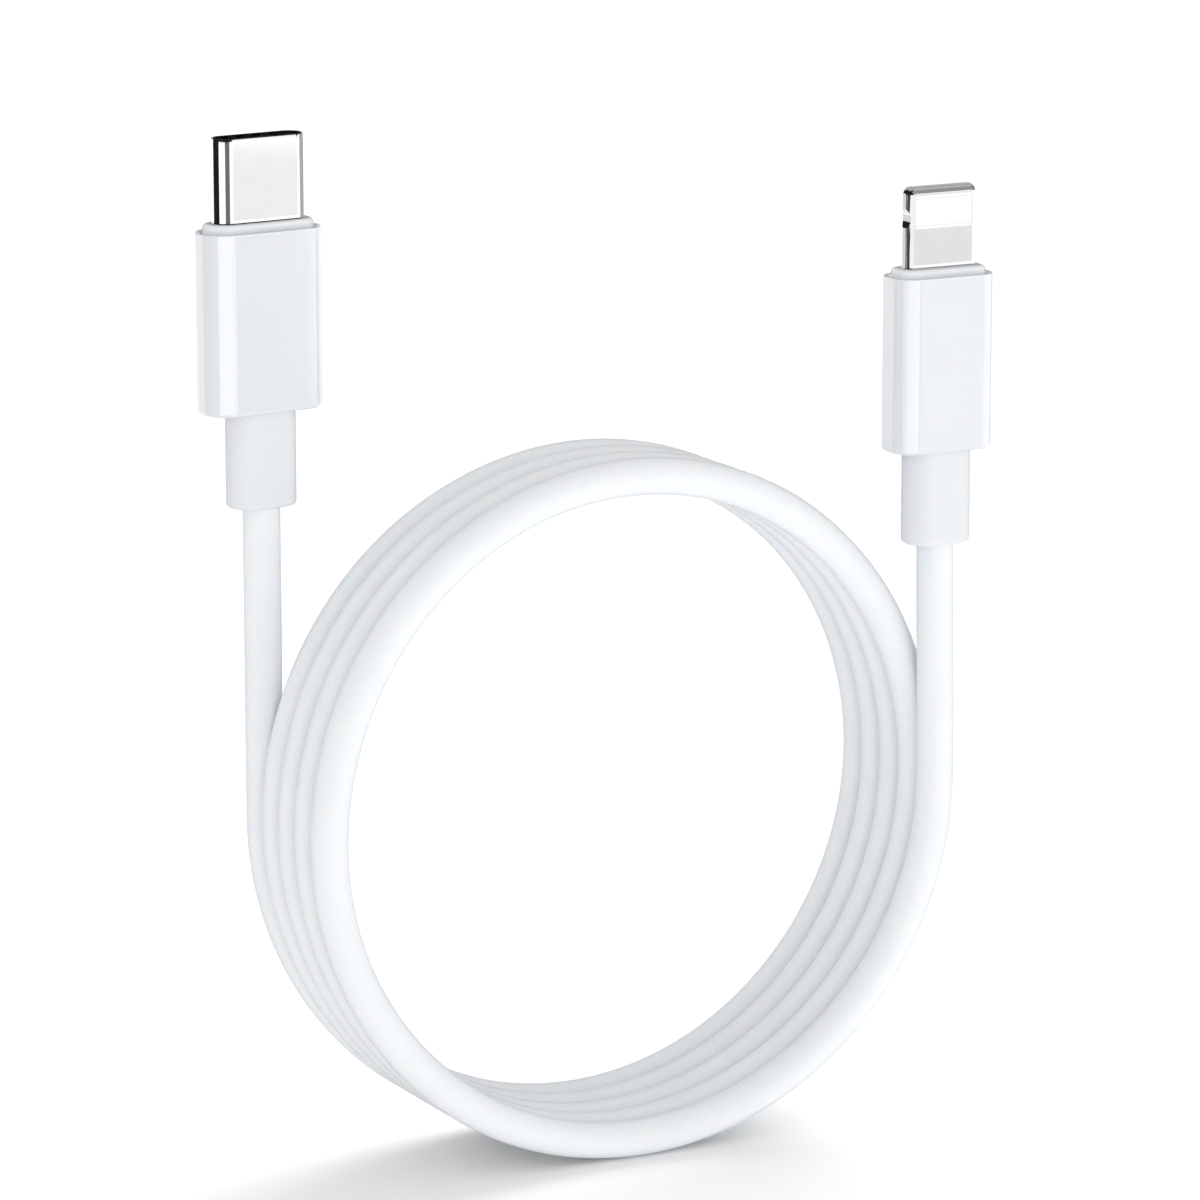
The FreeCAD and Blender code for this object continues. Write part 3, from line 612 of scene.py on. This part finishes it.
def notch_cutter(side):
    """The round rod, along the tab's depth, whose edge is a notch; side is -1 for the left."""
    mesh = bmesh.new()
    bmesh.ops.create_cone(mesh, cap_ends=True, segments=NOTCH_STEPS, radius1=T_NOTCH_R * MM,
                          radius2=T_NOTCH_R * MM, depth=T_TONGUE[1] * 2 * MM)
    place = Vector((side * (T_TONGUE[0] / 2 - T_NOTCH_DEPTH + T_NOTCH_R), 0, T_NOTCH_Z)) * MM
    turn = Matrix.Rotation(math.radians(90), 4, "X")
    bmesh.ops.transform(mesh, matrix=Matrix.Translation(place) @ turn, verts=mesh.verts)
    return mesh


def cut(piece, cutter_mesh):
    """Cuts a closed bmesh, in the piece's own frame, out of the piece's mesh."""
    data = bpy.data.meshes.new("cutter")
    cutter_mesh.to_mesh(data)
    cutter_mesh.free()
    cutter = bpy.data.objects.new("cutter", data)
    bpy.context.scene.collection.objects.link(cutter)
    cutter.matrix_world = piece.matrix_world
    modifier = piece.modifiers.new("cut", "BOOLEAN")
    modifier.object = cutter
    modifier.operation = "DIFFERENCE"
    modifier.solver = "EXACT"
    bpy.context.view_layer.update()
    evaluated = piece.evaluated_get(bpy.context.evaluated_depsgraph_get())
    result = bpy.data.meshes.new_from_object(evaluated)
    piece.modifiers.remove(modifier)
    piece.data = result
    bpy.data.objects.remove(cutter)


def tab_blade():
    """Steel tab: round tip corners and edges, two notches, and the window for the contacts."""
    half_y = T_TONGUE[1] / 2
    radius = T_TONGUE[2]
    front = []
    for step in range(EDGE_STEPS + 1):
        angle = math.pi / 2 * step / EDGE_STEPS
        front.append((radius * (1 - math.sin(angle)), -half_y + radius * (1 - math.cos(angle))))
    levels = front + [(distance, -y) for distance, y in reversed(front)]
    mesh = bmesh.new()
    add_skin(mesh, [tab_loop(distance, y) for distance, y in levels], hollow=False)
    flare_root(mesh, T_LENGTH + T_BOSS)
    piece = add_piece("tab_blade", mesh_data("tab_blade", mesh), "tab_steel", ["tab_frame"],
                      T_PLACE)
    window_low, window_high = T_WINDOW
    cut(piece, box_cutter(T_HOLLOW[0], half_y + OVERCUT, window_low, window_high))
    cut(piece, box_cutter(T_HOLLOW[0], T_HOLLOW[1], T_FRAME_BOTTOM - OVERCUT, window_low + OVERCUT))
    for side in (-1, 1):
        cut(piece, notch_cutter(side))
    return smooth(piece)


def tab_contacts(name, side):
    """Eight flat contacts with round corners in the tab's face; side is -1 for the front."""
    low, high = T_WINDOW
    outline = (T_CONTACT_WIDTH, high - low - 2 * T_CONTACT_MARGIN, T_CONTACT_CORNER)
    face = T_TONGUE[1] / 2
    upright = Matrix.Rotation(math.radians(-90 * side), 3, "X")
    mesh = bmesh.new()
    for index in range(T_CONTACTS):
        rings = [inset(outline, 0, T_HOLLOW[1])]
        rings += rounded_edge(outline, 0, T_CONTACT_EDGE, face, 1)
        middle = Vector(((index - (T_CONTACTS - 1) / 2) * T_PITCH, 0, (low + high) / 2))
        add_skin(mesh, [[upright @ point + middle for point in ring_points(*ring)]
                        for ring in rings], hollow=False)
    return smooth(add_piece(name + "_pads", mesh_data(name, mesh), "contact_pale", [name],
                            T_PLACE))


def tab_plug():
    outline = (T_WIDTH, CASING_DEPTH, T_RADIUS)
    return {"casing": casing("tab", outline, T_LENGTH, T_PLACE),
            "collar": collar("tab", outline, T_TONGUE, T_LENGTH, T_BOSS, T_PLACE),
            "relief": strain_relief("tab", T_FLANGE_WIDTH, T_PLACE),
            "tongue": tab_blade(),
            "front_pads": tab_contacts("tab_front_contacts", -1),
            "back_pads": tab_contacts("tab_back_contacts", 1)}


# ---------------------------------------------------------------- cord
def cord_points():
    """Control points from the crimp in the type-C plug, round the coil, to the tab's crimp.

    The coil's points are the corners of a polygon round the helix, half a step apart from
    where the leads touch it, so that the spline runs into both leads without a bend.
    """
    step = 2 * math.pi / STEPS_A_TURN
    corner_radius = COIL_RADIUS / math.cos(step / 2)
    reach = corner_radius * math.sin(step / 2)
    c_lead = centre_of("type_c_lead")
    c_top = top_of("type_c_lead")
    t_lead = centre_of("tab_lead")
    t_top = top_of("tab_lead")
    points = []
    for index in range(LEAD_POINTS):
        share = index / (LEAD_POINTS - 1)
        points.append((c_lead.x, c_lead.y, c_top + (COIL_AXIS.z + reach - c_top) * share))
    for index in range(round(TURNS * STEPS_A_TURN)):
        turned = (index + 0.5) * step
        angle = math.pi + turned
        points.append((COIL_AXIS.x + corner_radius * math.cos(angle),
                       COIL_AXIS.y + CORD_D * (TURNS / 2 - turned / (2 * math.pi)),
                       COIL_AXIS.z + corner_radius * math.sin(angle)))
    side_x = COIL_AXIS.x + COIL_RADIUS
    upright = COIL_AXIS.z + TAB_LEAD_BEND
    points += [(side_x, t_lead.y, COIL_AXIS.z + reach),
               ((side_x + t_lead.x) / 2, t_lead.y, (COIL_AXIS.z + reach + upright) / 2),
               (t_lead.x, t_lead.y, upright), (t_lead.x, t_lead.y, (upright + t_top) / 2),
               (t_lead.x, t_lead.y, t_top)]
    return points


def cord():
    """The whole cord as one smooth spline, round in section."""
    data = bpy.data.curves.new("cord", "CURVE")
    data.dimensions = "3D"
    spline = data.splines.new("NURBS")
    points = cord_points()
    spline.points.add(len(points) - 1)
    for control, point in zip(spline.points, points):
        control.co = (*(Vector(point) * MM), 1)
    spline.order_u = 3
    spline.use_endpoint_u = True
    spline.resolution_u = CORD_STEPS
    data.resolution_u = CORD_STEPS
    data.bevel_depth = CORD_D / 2 * MM
    data.bevel_resolution = CORD_STEPS
    data.use_fill_caps = True
    return add_piece("cord", data, "cord_jacket", ["coiled_cord", "type_c_lead", "tab_lead"])


# ---------------------------------------------------------------- studio
def direction(azimuth, elevation):
    """Unit vector from the object: azimuth 0 is in front, 90 at the right."""
    azimuth = math.radians(azimuth)
    elevation = math.radians(elevation)
    return Vector((math.sin(azimuth) * math.cos(elevation),
                   -math.cos(azimuth) * math.cos(elevation), math.sin(elevation)))


def camera():
    towards = direction(CAMERA_AZIMUTH, CAMERA_ELEVATION)
    right = direction(CAMERA_AZIMUTH + 90, 0)
    target = (COIL_AXIS + right * TARGET_SHIFT + Vector((0, 0, TARGET_RISE))) * MM
    data = bpy.data.cameras.new("camera")
    data.lens = CAMERA_LENS
    data.sensor_width = CAMERA_SENSOR
    data.clip_start = CAMERA_NEAR * MM
    seen = bpy.data.objects.new("camera", data)
    seen.location = target + towards * CAMERA_DISTANCE * MM
    seen.rotation_euler = towards.to_track_quat("Z", "Y").to_euler()
    bpy.context.scene.collection.objects.link(seen)
    bpy.context.scene.camera = seen


def floor():
    """A plain pale floor, wide enough to fill every view."""
    mesh = bmesh.new()
    bmesh.ops.create_circle(mesh, cap_ends=True, segments=64, radius=FLOOR_RADIUS * MM)
    data = bpy.data.meshes.new("floor")
    mesh.to_mesh(data)
    mesh.free()
    ground = bpy.data.objects.new("floor", data)
    bpy.context.scene.collection.objects.link(ground)
    nodes = Nodes("floor_paper")
    nodes.tinted(nodes.noise(FLOOR_PATCHES), (FLOOR_GREY,) * 3, (FLOOR_PATCH_GREY,) * 3)
    nodes.set(Roughness=1.0, Specular_IOR_Level=0.0)
    data.materials.append(nodes.material)
    ground.location.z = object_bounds()[0][2]
    ground.visible_glossy = False
    ground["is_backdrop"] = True
    return ground


def dome():
    """Light from all round, weaker from above; polished surfaces reflect a dim part of it."""
    world = bpy.data.worlds.new("studio")
    bpy.context.scene.world = world
    world.use_nodes = True
    world.cycles.sampling_method = "NONE"
    tree = world.node_tree
    light = tree.nodes["Background"]
    height = tree.nodes.new("ShaderNodeSeparateXYZ")
    fade = tree.nodes.new("ShaderNodeMapRange")
    fade.inputs["To Min"].default_value = HORIZON
    fade.inputs["To Max"].default_value = ZENITH
    place = tree.nodes.new("ShaderNodeTexCoord").outputs["Generated"]
    tree.links.new(place, height.inputs["Vector"])
    tree.links.new(height.outputs["Z"], fade.inputs["Value"])
    tree.links.new(fade.outputs["Result"], light.inputs["Strength"])
    light.inputs["Color"].default_value = (1, 1, 1, 1)
    dim = tree.nodes.new("ShaderNodeBackground")
    dim.inputs["Strength"].default_value = DOME_IN_GLOSS
    dim.inputs["Color"].default_value = (1, 1, 1, 1)
    path = tree.nodes.new("ShaderNodeLightPath")
    mix = tree.nodes.new("ShaderNodeMixShader")
    tree.links.new(path.outputs["Is Glossy Ray"], mix.inputs["Fac"])
    tree.links.new(light.outputs["Background"], mix.inputs[1])
    tree.links.new(dim.outputs["Background"], mix.inputs[2])
    tree.links.new(mix.outputs["Shader"], tree.nodes["World Output"].inputs["Surface"])


def light_only(lamp, receivers):
    """Makes a lamp light nothing but the receivers."""
    group = bpy.data.collections.new(lamp.name + "_receivers")
    for receiver in receivers:
        group.objects.link(receiver)
    lamp.light_linking.receiver_collection = group


def shine_through(lamp, thing):
    """Lets a lamp's light pass through one thing, which then casts no shadow of it."""
    group = bpy.data.collections.new(lamp.name + "_blockers")
    group.objects.link(thing)
    group.collection_objects[0].light_linking.link_state = "EXCLUDE"
    lamp.light_linking.blocker_collection = group


def sun(name, azimuth, elevation, spread, power):
    """A wide soft lamp that gloss doesn't show."""
    data = bpy.data.lights.new(name, "SUN")
    data.energy = power
    data.angle = math.radians(spread)
    lamp = bpy.data.objects.new(name, data)
    lamp.rotation_euler = direction(azimuth, elevation).to_track_quat("Z", "Y").to_euler()
    lamp.visible_glossy = False
    bpy.context.scene.collection.objects.link(lamp)
    return lamp


def softbox(name, place, azimuths, elevations, radiance, receivers):
    """A bright panel that only the receivers reflect, seen from place between two azimuths."""
    distance = PANEL_DISTANCE * MM
    towards = direction(sum(azimuths) / 2, sum(elevations) / 2)
    data = bpy.data.lights.new(name, "AREA")
    data.shape = "RECTANGLE"
    data.size = 2 * distance * math.tan(math.radians(azimuths[1] - azimuths[0]) / 2)
    data.size_y = 2 * distance * math.tan(math.radians(elevations[1] - elevations[0]) / 2)
    data.energy = radiance * math.pi * data.size * data.size_y
    lamp = bpy.data.objects.new(name, data)
    lamp.location = place * MM + towards * distance
    lamp.rotation_euler = towards.to_track_quat("Z", "Y").to_euler()
    lamp.visible_camera = False
    lamp.visible_diffuse = False
    bpy.context.scene.collection.objects.link(lamp)
    light_only(lamp, receivers)


def softboxes(panels, place, receivers):
    for name, azimuths, elevations, radiance in panels:
        softbox(name, place, azimuths, elevations, radiance, receivers)


def studio(c_plug, t_plug):
    dome()
    camera()
    ground = floor()
    light_only(sun("floor_light", *FLOOR_LIGHT), [ground])
    shine_through(sun("front_light", *FRONT_LIGHT), ground)
    shine_through(sun("side_light", *SIDE_LIGHT), ground)
    c_top = C_BASE + Vector((0, 0, C_LENGTH + C_BOSS + C_TONGUE_LENGTH / 2))
    t_top = T_BASE + Vector((0, 0, T_LENGTH + T_BOSS + T_TAB_LENGTH / 2))
    contacts = [t_plug["front_pads"], t_plug["back_pads"], frame["nodes"]["tab_contact_insulator"]]
    softboxes(C_METAL_PANELS, c_top, [c_plug["tongue"]])
    softboxes(T_METAL_PANELS, t_top, [t_plug["tongue"]])
    softboxes(CONTACT_PANELS, t_top, contacts)
    softboxes(C_GLOSS_PANELS, C_BASE, [c_plug["casing"]])
    softboxes(T_GLOSS_PANELS, T_BASE, [t_plug["casing"]])
    bpy.context.scene.view_settings.view_transform = "Standard"


def clothe_frame():
    """Gives every CAD node the material of its slot in the record."""
    slots = {part["node"]: part["material_slot"] for part in frame["record"]["subparts"]}
    for name, node in frame["nodes"].items():
        node.data.materials.clear()
        node.data.materials.append(MATERIALS[slots[name]])
        node.data.shade_smooth()
        node.data.set_sharp_from_angle(angle=math.radians(SHARP_ANGLE))


clothe_frame()
c_plug = type_c_plug()
t_plug = tab_plug()
the_cord = cord()
studio(c_plug, t_plug)
